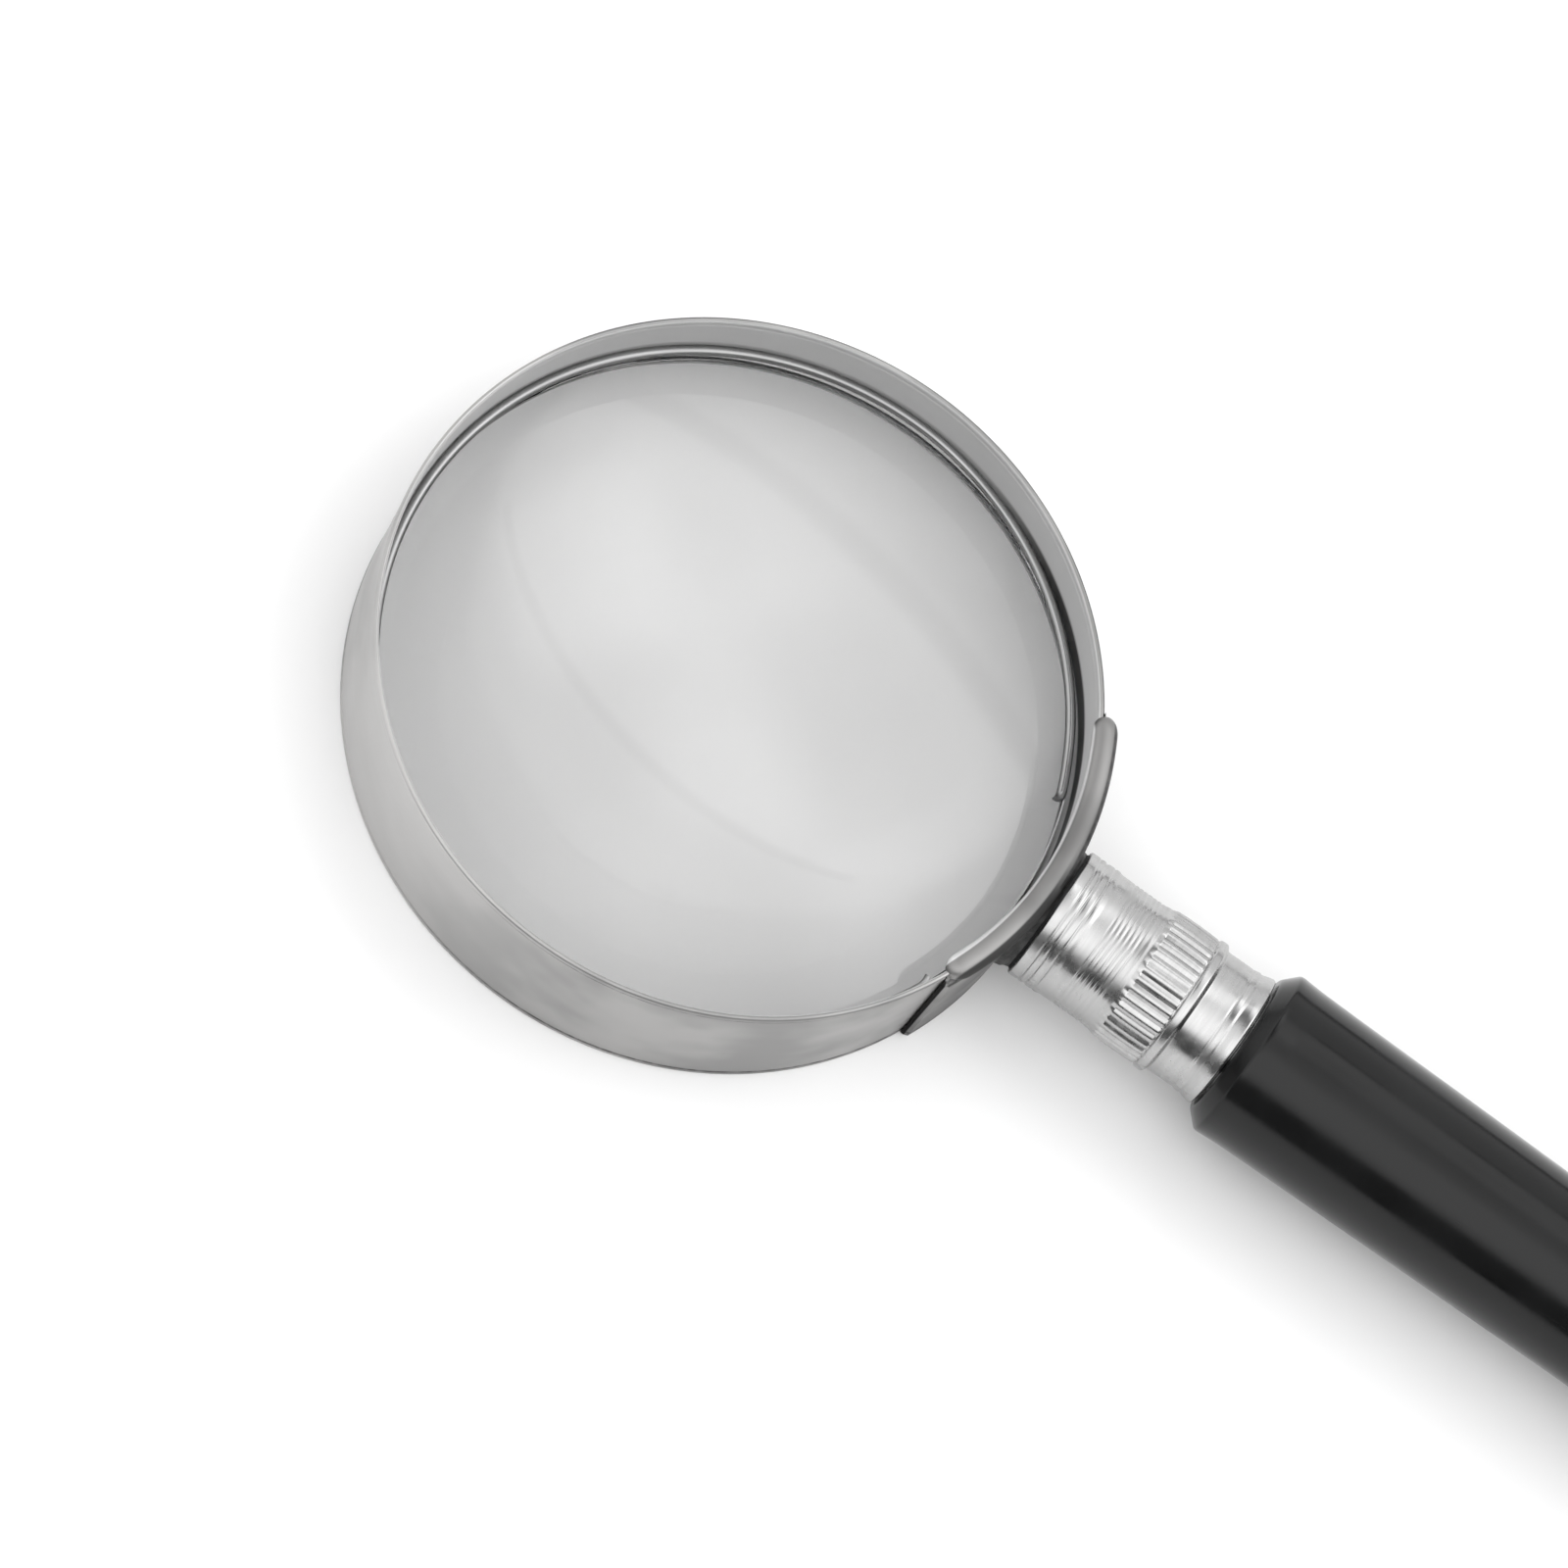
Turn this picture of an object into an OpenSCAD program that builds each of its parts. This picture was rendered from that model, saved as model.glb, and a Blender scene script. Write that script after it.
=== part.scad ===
// Hand-held magnifying glass: a glass lens in a deep sheet-metal rim, a saddle clip with a
// threaded stud at the neck, and a grip that screws onto the stud.
// Millimetres. The origin is the centre of the rim, +Z is the optical axis towards the reader,
// and the grip runs along +X.

/* [Rim] */
// Outside diameter of the rim band
rim_d = 62; // [61:0.5:63]
// Height of the rim band along the optical axis
rim_height = 14.3; // [14.1:0.1:14.8]
// Thickness of the rim's sheet
rim_sheet = 0.5; // [0.45:0.05:0.5]
// Radial width of the rolled lip at each edge of the rim
lip_width = 0.75; // [0.7:0.05:0.8]
// Gap between the two ends of the rim band, hidden under the saddle
rim_split = 1; // [0.5:0.5:2]

/* [Lens] */
// Diameter of the lens
lens_d = 60; // [59.6:0.1:60.2]
// Thickness of the lens at its edge
lens_edge = 3.6; // [3:0.1:3.8]
// Radius of curvature of both faces of the lens
lens_face_r = 114; // [105:1:140]
// Bevel ground on the lens's two sharp edges
lens_bevel = 0.25; // [0.1:0.05:0.4]

/* [Retaining rings] */
// Wire diameter of the two spring rings that hold the lens
wire_d = 0.9; // [0.8:0.05:0.9]
// How far the centre of the sprung front ring lies from the rim's axis, away from the neck
front_ring_shift = 0.3; // [0:0.05:0.35]
// Half of the front ring's gap, in degrees
front_ring_gap = 20; // [8:1:24]
// Direction of the middle of that gap, from the neck, in degrees
front_ring_turn = -3; // [-10:1:10]
// Half of the rear ring's gap, which faces away from the neck, in degrees
rear_ring_gap = 6; // [4:1:12]

/* [Saddle] */
// Thickness of the saddle's sheet
saddle_sheet = 0.6; // [0.5:0.05:0.6]
// Angle that the saddle's long arm covers on the +Y side, in degrees
long_arm = 30; // [27:0.5:32]
// Angle that the saddle's short arm covers on the -Y side, in degrees
short_arm = 24; // [22:0.5:30]
// Radius of the rolled bead over the front lip
bead_r = 1.15; // [1.1:0.05:1.2]
// Height of the flat boss's face from the rim's axis
boss_x = 32.4; // [32.3:0.1:32.6]
// Diameter of the boss
boss_d = 12.4; // [12:0.1:12.6]

/* [Neck] */
// Distance of the neck's axis in front of the rim's middle plane
neck_z = 2; // [1:0.25:2.25]
// Diameter of the stud's thread
stud_d = 5; // [5]
// Length of the stud from its flange to its tip
stud_len = 14; // [12:0.5:15]
// Width across the stud's square flange
flange_w = 7.4; // [7:0.1:7.4]
// Thickness of the black washer
washer_t = 0.4; // [0.3:0.1:0.5]

/* [Ferrule] */
// Length of the ferrule
ferrule_len = 18.4; // [18.4]
// Number of flutes round the fluted band
flutes = 40; // [36:1:42]
// Number of fine turned grooves in front of the flutes
fine_grooves = 7; // [3:1:7]

/* [Handle] */
// Radius of the handle at its front edge
handle_front_r = 7.8; // [7.7:0.05:7.9]
// Radius of the handle's straight part
handle_r = 7.2; // [7.1:0.05:7.3]
// Length of the handle without its cap
handle_len = 84; // [70:1:110]
// Length of the handle's straight part, which a sleeve or clip can hold
straight_len = 46; // [30:1:46]
// Thickness of the handle's wall
handle_wall = 2; // [1.5:0.1:2.2]

/* [Hidden] */
$fn = 96;

rim_r = rim_d / 2;
rim_inner_r = rim_r - rim_sheet;
rim_top = rim_height / 2;
lip_height = 0.6;
lip_round = 0.2;

lens_r = lens_d / 2;
lens_sag = lens_face_r - sqrt(pow(lens_face_r, 2) - pow(lens_r, 2));
lens_mid = lens_edge + 2 * lens_sag;
// How far each face's centre of curvature lies on the other side of the middle plane
face_centre = lens_face_r - lens_mid / 2;
lens_fn = 720;

wire_r = wire_d / 2;
ring_wall_gap = 0.05;
ring_r = rim_inner_r - ring_wall_gap - wire_r;
// A ring's centre line lies where its wire just clears the lens's face
seat_gap = 0.02;
front_ring_r = ring_r - front_ring_shift;
front_ring_z = seat_height(ring_r - 2 * front_ring_shift);
rear_ring_z = -seat_height(ring_r);

saddle_gap = 0.05;
saddle_in = rim_r + saddle_gap;
saddle_out = saddle_in + saddle_sheet;
bead_centre_r = rim_r + 0.1;
bead_z = rim_top - 0.25;
// The lip runs in a slot inside the bead
slot_in = rim_r - lip_width - 0.05;
slot_out = rim_r + 0.03;
slot_depth = 2.2;
slot_top = rim_top + saddle_gap;
// The bead's round end is set back from the end of the skirt by this angle
bead_setback = 2.7;
hook_in = rim_r - 1.1;
hook_t = 0.5;
// Under the saddle the rim's rear edge is trimmed back, so that the saddle's hook is flush with it
trim_clear = 0.3;
trim_t = hook_t + saddle_gap;

boss_r = boss_d / 2;
boss_round = 0.4;
boss_wall = 0.45;
pocket_x = boss_x - boss_wall;
pocket_w = flange_w + 0.2;
stud_r = stud_d / 2;
stud_hole_r = stud_r + 0.1;
flange_t = pocket_x - saddle_in - 0.05;
flange_top = saddle_in + flange_t;
stud_tip = 0.6;

washer_x = boss_x;
washer_r = 6;
ferrule_x = washer_x + washer_t;
ferrule_back = ferrule_x + ferrule_len;
bush_r = 4;
bush_inset = 0.2;
thread_clear = 0.04;
thread_len = 15;
spigot_len = 13;
handle_x = ferrule_back + 0.25;
handle_end = handle_x + handle_len;
shoulder_r = 5;
bush_end = handle_x + spigot_len;

// Steps of the ferrule's outline: distance from its front face, and radius
neck_end_r = 6.1;
barrel_r = 5.98;
flute_r = 6.28;
rear_ring_r = 6.38;
waist_r = 5.9;
mouth_r = 6.2;
ferrule_steps = [
    [0, neck_end_r - 0.25], [0.25, neck_end_r], [2.6, neck_end_r], [3, barrel_r],
    [7.6, barrel_r], [8.5, flute_r - 0.06], [10.6, flute_r], [12.6, flute_r - 0.06],
    [12.8, rear_ring_r], [13.5, rear_ring_r], [13.8, waist_r], [16.2, waist_r],
    [17, waist_r + 0.1], [17.3, waist_r + 0.05], [18.2, mouth_r], [ferrule_len, mouth_r - 0.1]
];
flute_start = 8.5;
flute_len = 4;
flute_cut_r = 0.3;
flute_depth = 0.16;
fine_start = 4.3;
fine_pitch = 0.45;
fine_cut_r = 0.12;
fine_depth = 0.06;
neck_grooves = [0.9, 1.4, 2.2];

bevel_len = 1.3;
bevel_r = 6.6;
flare_len = 3.4;
flare_r = 7.6;
bore_end = handle_end - 5;
cap_seat_r = handle_r - handle_wall + 0.4;
cap_r = handle_r - 0.2;
cap_round = 2.2;
cap_plug = 4.6;
handle_edge = 0.4;
straight_start = handle_end - handle_edge - straight_len;

// Height at which wire centred on radius r clears the front face of the lens
function seat_height(r) = sqrt(pow(lens_face_r + wire_r + seat_gap, 2) - pow(r, 2)) - face_centre;

// A rectangle with rounded corners, from [x0, y0] to [x1, y1]
module soft_rectangle(x0, y0, x1, y1, r) {
    translate([x0 + r, y0])
        square([x1 - x0 - 2 * r, y1 - y0]);
    translate([x0, y0 + r])
        square([x1 - x0, y1 - y0 - 2 * r]);
    for (x = [x0 + r, x1 - r], y = [y0 + r, y1 - r])
        translate([x, y])
            circle(r);
}

// Turns a shape made along +Z onto the neck's axis, starting x from the rim's axis
module on_neck(x) {
    translate([x, 0, neck_z])
        rotate([0, 90, 0])
            children();
}

// A hole or rod on the neck's axis
module neck_rod(x0, x1, r) {
    on_neck(x0)
        cylinder(r = r, h = x1 - x0);
}

// A square rod on the neck's axis
module neck_square(x0, x1, w) {
    translate([x0, -w / 2, neck_z - w / 2])
        cube([x1 - x0, w, w]);
}

// Turns a list of [distance, radius] steps into a solid of revolution
module turned(steps) {
    ends = len(steps) - 1;
    outline = [for (s = steps) [s[1], s[0]]];
    rotate_extrude()
        polygon(concat([[0, steps[0][0]]], outline, [[0, steps[ends][0]]]));
}

// The lens: two spherical faces, a cylindrical edge and two ground bevels
module lens() {
    bevel_top = lens_edge / 2 - lens_bevel;
    color("gainsboro", 0.4)
        rotate_extrude($fn = 180)
            intersection() {
                translate([0, -face_centre])
                    circle(lens_face_r, $fn = lens_fn);
                translate([0, face_centre])
                    circle(lens_face_r, $fn = lens_fn);
                polygon([
                    [0, lens_r + bevel_top], [lens_r, bevel_top],
                    [lens_r, -bevel_top], [0, -lens_r - bevel_top]
                ]);
            }
}

// The rim: a strip with a lip rolled inwards along each edge, bent round into a hoop
module rim_band() {
    half_gap = asin(rim_split / 2 / rim_r);
    color("silver")
        difference() {
            rotate_extrude(angle = 360 - 2 * half_gap, start = half_gap, $fn = 180) {
                translate([rim_inner_r, -rim_top + lip_height / 2])
                    square([rim_sheet, rim_height - lip_height]);
                for (z = [-rim_top, rim_top - lip_height])
                    soft_rectangle(rim_r - lip_width, z, rim_r, z + lip_height, lip_round);
            }
            rotate_extrude(angle = long_arm + short_arm + 2 * trim_clear,
                           start = -short_arm - trim_clear, $fn = 180)
                translate([rim_r - 2 * lip_width, -rim_top - 1])
                    square([3 * lip_width, 1 + trim_t]);
        }
}

// A spring ring of round wire, open by gap degrees on each side of its middle direction
module wire_ring(r, middle, gap) {
    color("gray")
        rotate([0, 0, middle])
            rotate_extrude(angle = 360 - 2 * gap, start = gap, $fn = 180)
                translate([r, 0])
                    circle(wire_r, $fn = 48);
}

// The front ring touches the rim's wall opposite the neck and stands off it at the neck
module front_retaining_ring() {
    translate([-front_ring_shift, 0, front_ring_z])
        wire_ring(front_ring_r, front_ring_turn, front_ring_gap);
}

// The rear ring lies on the wall all the way round
module rear_retaining_ring() {
    translate([0, 0, rear_ring_z])
        wire_ring(ring_r, 180, rear_ring_gap);
}

// The saddle's skirt and its flat hook under the rim's rear edge
module saddle_skirt() {
    rotate_extrude(angle = long_arm + short_arm, start = -short_arm, $fn = 180) {
        translate([saddle_in, -rim_top + lip_round])
            square([saddle_sheet, rim_height]);
        soft_rectangle(hook_in, -rim_top, saddle_out, -rim_top + hook_t, lip_round);
    }
}

// The rolled bead over the front lip, with a round end on each arm
module saddle_bead() {
    first = -short_arm + bead_setback;
    last = long_arm - bead_setback;
    translate([0, 0, bead_z]) {
        rotate_extrude(angle = last - first, start = first, $fn = 180)
            translate([bead_centre_r, 0])
                circle(bead_r, $fn = 64);
        for (a = [first, last])
            rotate([0, 0, a])
                translate([bead_centre_r, 0, 0])
                    sphere(bead_r, $fn = 64);
    }
}

// The slot inside the bead that the rim's front lip runs in
module lip_slot() {
    rotate_extrude(angle = long_arm + short_arm + 4, start = -short_arm - 2, $fn = 180)
        translate([slot_in, slot_top - slot_depth])
            square([slot_out - slot_in, slot_depth]);
}

// The flat boss that the washer and the ferrule bear on
module boss() {
    difference() {
        on_neck(rim_inner_r - 1)
            turned([[0, boss_r], [boss_x - boss_round - rim_inner_r + 1, boss_r],
                    [boss_x - rim_inner_r + 1, boss_r - boss_round]]);
        cylinder(r = saddle_in, h = 4 * rim_height, center = true, $fn = 180);
    }
}

module saddle_clip() {
    color("darkgray")
        difference() {
            union() {
                saddle_skirt();
                saddle_bead();
                boss();
            }
            lip_slot();
            neck_square(rim_inner_r - 2, pocket_x, pocket_w);
            neck_rod(rim_inner_r, boss_x + 1, stud_hole_r);
        }
}

// The stud: a square flange that can't turn in the saddle, and a threaded shank
module clamp_stud() {
    color("slategray") {
        neck_square(saddle_in, flange_top, flange_w);
        on_neck(saddle_in)
            turned([[0, stud_r], [flange_t + stud_len - stud_tip, stud_r],
                    [flange_t + stud_len, stud_r - stud_tip]]);
    }
}

module neck_washer() {
    color("black")
        difference() {
            neck_rod(washer_x, washer_x + washer_t, washer_r);
            neck_rod(washer_x - 1, washer_x + washer_t + 1, stud_hole_r);
        }
}

// A round groove turned in the ferrule, at a distance from its front face
module ring_groove(at, r) {
    translate([0, 0, at])
        rotate_extrude()
            translate([r, 0])
                circle(fine_cut_r, $fn = 24);
}

// The ferrule: turned rings, a fluted band with a raised ring behind it, a waist and a mouth
module ferrule() {
    color("gainsboro")
        on_neck(ferrule_x)
            difference() {
                union() {
                    turned(ferrule_steps);
                    cylinder(r = shoulder_r, h = handle_x - ferrule_x);
                }
                translate([0, 0, -1])
                    cylinder(r = bush_r, h = ferrule_len + 3);
                for (i = [0 : flutes - 1])
                    rotate([0, 0, i * 360 / flutes])
                        translate([flute_r + flute_cut_r - flute_depth, 0, flute_start])
                            cylinder(r = flute_cut_r, h = flute_len, $fn = 24);
                for (i = [0 : fine_grooves - 1])
                    ring_groove(fine_start + i * fine_pitch, barrel_r + fine_cut_r - fine_depth);
                for (at = neck_grooves)
                    ring_groove(at, neck_end_r + fine_cut_r - fine_depth);
            }
}

// The brass core: tapped for the stud in front, and a spigot pressed into the handle behind
module threaded_bush() {
    front = ferrule_x + bush_inset;
    color("goldenrod")
        difference() {
            neck_rod(front, bush_end, bush_r);
            neck_rod(front - 1, front + thread_len, stud_r + thread_clear);
        }
}

// The moulded handle: bevelled front edge, slight flare, taper, then a straight part
module handle() {
    color("#1c1c1e")
        difference() {
            on_neck(handle_x)
                turned([[0, bevel_r], [bevel_len, handle_front_r], [flare_len, flare_r + 0.05],
                        [flare_len + 2.5, flare_r], [straight_start - handle_x, handle_r],
                        [handle_len - handle_edge, handle_r],
                        [handle_len, handle_r - handle_edge]]);
            neck_rod(handle_x - 1, bush_end, bush_r);
            neck_rod(bush_end - 1, handle_end + 1, handle_r - handle_wall);
            neck_rod(bore_end, handle_end + 1, cap_seat_r);
        }
}

// The cap: a plug in the handle's open end under a rounded head
module end_cap() {
    color("#1c1c1e")
        on_neck(handle_end) {
            translate([0, 0, -cap_plug])
                cylinder(r = cap_seat_r, h = cap_plug + 0.1);
            rotate_extrude()
                intersection() {
                    union() {
                        square([cap_r - cap_round, cap_round]);
                        translate([cap_r - cap_round, 0])
                            circle(cap_round, $fn = 64);
                    }
                    square([cap_r, cap_round]);
                }
        }
}

lens();
rim_band();
front_retaining_ring();
rear_retaining_ring();
saddle_clip();
clamp_stud();
neck_washer();
ferrule();
threaded_bush();
handle();
end_cap();
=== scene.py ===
"""Looks of the hand-held magnifying glass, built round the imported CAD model.

Metres, in the row frame: the origin is the centre of the rim, +Z is the optical axis towards the
reader, and the grip runs along +X.
"""

import math

import bpy
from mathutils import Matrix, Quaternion, Vector


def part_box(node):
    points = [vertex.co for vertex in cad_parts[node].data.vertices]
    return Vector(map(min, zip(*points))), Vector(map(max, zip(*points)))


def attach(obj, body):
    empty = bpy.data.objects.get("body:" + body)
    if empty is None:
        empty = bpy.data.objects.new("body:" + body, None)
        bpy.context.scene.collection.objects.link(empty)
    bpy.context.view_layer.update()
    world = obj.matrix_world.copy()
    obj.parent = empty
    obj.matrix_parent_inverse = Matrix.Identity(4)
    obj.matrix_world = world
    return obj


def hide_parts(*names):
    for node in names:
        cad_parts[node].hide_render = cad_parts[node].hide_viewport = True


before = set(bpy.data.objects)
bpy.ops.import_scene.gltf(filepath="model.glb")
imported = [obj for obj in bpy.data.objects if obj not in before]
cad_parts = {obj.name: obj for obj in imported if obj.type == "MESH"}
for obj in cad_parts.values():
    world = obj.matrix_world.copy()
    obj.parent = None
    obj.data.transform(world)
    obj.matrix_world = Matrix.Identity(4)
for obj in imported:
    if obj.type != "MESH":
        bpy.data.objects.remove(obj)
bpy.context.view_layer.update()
MM = 0.001
TURN = 2 * math.pi

# The camera: its lens, the point in the middle of the picture, and where it stands from there
CAMERA_LENS = 157.5
SENSOR_WIDTH = 36
AIM = Vector((0.008491, -0.003563, 0))
DISTANCE = 0.56862
ELEVATION = math.radians(64.92)
HEADING = math.radians(1.0)
ROLL = math.radians(36.26)

# Brightness of the open sky, of the sky at the horizon, and of its darkest flag
SKY = 1.5
HORIZON = 0.4
DARKEST = 0.03

# The CAD model's own boxes, which the detailed pieces are built to
FERRULE_LOW, FERRULE_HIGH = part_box("ferrule")
LENS_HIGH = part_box("lens")[1]
HANDLE_LOW, HANDLE_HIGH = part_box("handle")
CAP_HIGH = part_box("end_cap")[1]
STUD_LOW, STUD_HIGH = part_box("clamp_stud")
RIM_LOW, RIM_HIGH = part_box("rim_band")
# Height of the neck's axis, and of the floor that the rim stands on
NECK_Z = (FERRULE_LOW.z + FERRULE_HIGH.z) / 2
FLOOR_Z = RIM_LOW.z
# The lens's edge, and the radius of both its faces
LENS_R = LENS_HIGH.x
LENS_FACE_R = 114 * MM
# The rim's sheet with its two faces, and the height of the small bead rolled along each of its edges
SHEET = 0.5 * MM
RIM_R = RIM_HIGH.y
RIM_INNER_R = RIM_R - SHEET
ROLL_HEIGHT = 0.62 * MM
# Height of the crease where the saddle's skirt turns into its bead
SADDLE_CREASE = 6.35 * MM
# The saddle's two arms end at these angles round the optical axis
SADDLE_FROM = math.radians(-24)
SADDLE_TO = math.radians(30)


# ---------------------------------------------------------------- node helpers

def add_node(tree, kind, **settings):
    """A new node with its properties set."""
    node = tree.nodes.new(kind)
    for name, value in settings.items():
        setattr(node, name, value)
    return node


def feed(tree, value, socket):
    """Links a socket into a socket, or sets a plain value on it."""
    if isinstance(value, bpy.types.NodeSocket):
        tree.links.new(value, socket)
    else:
        socket.default_value = value


def math_node(tree, operation, *values):
    node = add_node(tree, "ShaderNodeMath", operation=operation)
    for value, socket in zip(values, node.inputs):
        feed(tree, value, socket)
    return node.outputs[0]


def times(tree, a, b):
    return math_node(tree, "MULTIPLY", a, b)


def distance_to(tree, value, at):
    """How far a value is from a number."""
    return math_node(tree, "ABSOLUTE", math_node(tree, "SUBTRACT", value, at))


def vector_math(tree, operation, vector, constant, output="Vector"):
    node = add_node(tree, "ShaderNodeVectorMath", operation=operation)
    feed(tree, vector, node.inputs[0])
    node.inputs[1].default_value = constant
    return node.outputs[output]


def dot(tree, vector, axis):
    return vector_math(tree, "DOT_PRODUCT", vector, axis, "Value")


def stretched(tree, vector, scale):
    return vector_math(tree, "MULTIPLY", vector, scale)


def split_xyz(tree, vector):
    node = add_node(tree, "ShaderNodeSeparateXYZ")
    feed(tree, vector, node.inputs[0])
    return node.outputs


def remap(tree, value, low, high, to_low, to_high, smooth=True):
    """value from [low, high] to [to_low, to_high], held at both ends."""
    node = add_node(tree, "ShaderNodeMapRange")
    if smooth:
        node.interpolation_type = "SMOOTHSTEP"
    feed(tree, value, node.inputs["Value"])
    for name, number in (("From Min", low), ("From Max", high), ("To Min", to_low), ("To Max", to_high)):
        feed(tree, number, node.inputs[name])
    return node.outputs["Result"]


def noise(tree, vector, scale, detail=3.0, roughness=0.5):
    node = add_node(tree, "ShaderNodeTexNoise")
    feed(tree, vector, node.inputs["Vector"])
    node.inputs["Scale"].default_value = scale
    node.inputs["Detail"].default_value = detail
    node.inputs["Roughness"].default_value = roughness
    return node.outputs["Fac"]


def blend_colours(tree, factor, colour_a, colour_b):
    node = add_node(tree, "ShaderNodeMix", data_type="RGBA")
    feed(tree, factor, node.inputs["Factor"])
    feed(tree, colour_a, node.inputs["A"])
    feed(tree, colour_b, node.inputs["B"])
    return node.outputs["Result"]


def bump(tree, height, distance, strength=1.0, below=None):
    node = add_node(tree, "ShaderNodeBump")
    node.inputs["Strength"].default_value = strength
    node.inputs["Distance"].default_value = distance
    feed(tree, height, node.inputs["Height"])
    if below is not None:
        feed(tree, below, node.inputs["Normal"])
    return node.outputs["Normal"]


def grey(value, warmth=0.0):
    """A grey, a little warmer or cooler than neutral."""
    return (value * (1 + warmth), value, value * (1 - warmth), 1)


def new_material(name, **constants):
    """A material with its Principled shader, its tree and the object's own coordinates."""
    material = bpy.data.materials.new(name)
    material.use_nodes = True
    tree = material.node_tree
    shader = tree.nodes["Principled BSDF"]
    for socket, value in constants.items():
        shader.inputs[socket.replace("_", " ")].default_value = value
    place = add_node(tree, "ShaderNodeTexCoord").outputs["Object"]
    return material, tree, shader, place


def reopen(material):
    """A finished material's tree, its shader and the object's own coordinates."""
    tree = material.node_tree
    place = add_node(tree, "ShaderNodeTexCoord").outputs["Object"]
    return tree, tree.nodes["Principled BSDF"], place


def linked(shader, socket):
    """What a finished material feeds into a socket of its shader."""
    return shader.inputs[socket].links[0].from_socket


def around(tree, place, axis, radius):
    """Coordinates on a round piece: the angle times radius, the distance off its axis, the distance along it.
    The axis is the neck's for X and the optical axis for Z."""
    centred = vector_math(tree, "SUBTRACT", place, (0, 0, NECK_Z if axis == "X" else 0))
    x, y, z = split_xyz(tree, centred)
    across, side, along = (y, z, x) if axis == "X" else (x, y, z)
    angle = math_node(tree, "ARCTAN2", side, across)
    squares = math_node(tree, "ADD", times(tree, across, across), times(tree, side, side))
    out = math_node(tree, "SQRT", squares)
    joined = add_node(tree, "ShaderNodeCombineXYZ")
    feed(tree, times(tree, angle, radius), joined.inputs[0])
    feed(tree, out, joined.inputs[1])
    feed(tree, along, joined.inputs[2])
    return joined.outputs["Vector"]


# ---------------------------------------------------------------- materials

def cloudy(tree, hoop):
    """The soft patches of nickel plating rubbed thin with use."""
    return noise(tree, stretched(tree, hoop, (1, 1, 1.3)), 66)


def satin_nickel(name, dark, light, crease, crease_half, duller=0.0):
    """Nickel-plated sheet: cloudy patches, a fine drawn grain round the hoop and faint scratches. A dark band
    fills the crease beside each rolled edge, at this height above and below the middle; on the saddle it is
    painted shade under the bead. duller is added roughness."""
    material, tree, shader, place = new_material(name, Metallic=1.0)
    hoop = around(tree, place, "Z", RIM_R)
    height = split_xyz(tree, hoop)[2]
    clouds = cloudy(tree, hoop)
    streaks = noise(tree, stretched(tree, hoop, (12, 1, 900)), 6, 3.0, 0.6)
    specks = noise(tree, place, 2600, 2.0, 0.6)
    tone = math_node(tree, "MULTIPLY_ADD", remap(tree, clouds, 0.4, 0.6, 0, 1), 0.75,
                     times(tree, streaks, 0.25))
    clean = blend_colours(tree, tone, grey(dark, 0.006), grey(light, 0.012))
    # The crease is darkened; under the saddle's bead this is painted shade.
    gap = distance_to(tree, math_node(tree, "ABSOLUTE", height), crease)
    crease_darkening = times(tree, remap(tree, gap, crease_half * 0.4, crease_half, 0.75, 0),
                    remap(tree, noise(tree, hoop, 900), 0.35, 0.6, 0.3, 1))
    feed(tree, blend_colours(tree, crease_darkening, clean, grey(0.07)), shader.inputs["Base Color"])
    rough = math_node(tree, "ADD", remap(tree, clouds, 0.3, 0.7, 0.42 + duller, 0.28 + duller),
                      times(tree, streaks, 0.12))
    feed(tree, rough, shader.inputs["Roughness"])
    waves = bump(tree, noise(tree, hoop, 120, 1.0), 0.10 * MM, 0.5)
    grain = bump(tree, streaks, 0.004 * MM, 0.35, waves)
    feed(tree, bump(tree, specks, 0.002 * MM, 0.3, grain), shader.inputs["Normal"])
    return material


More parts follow.
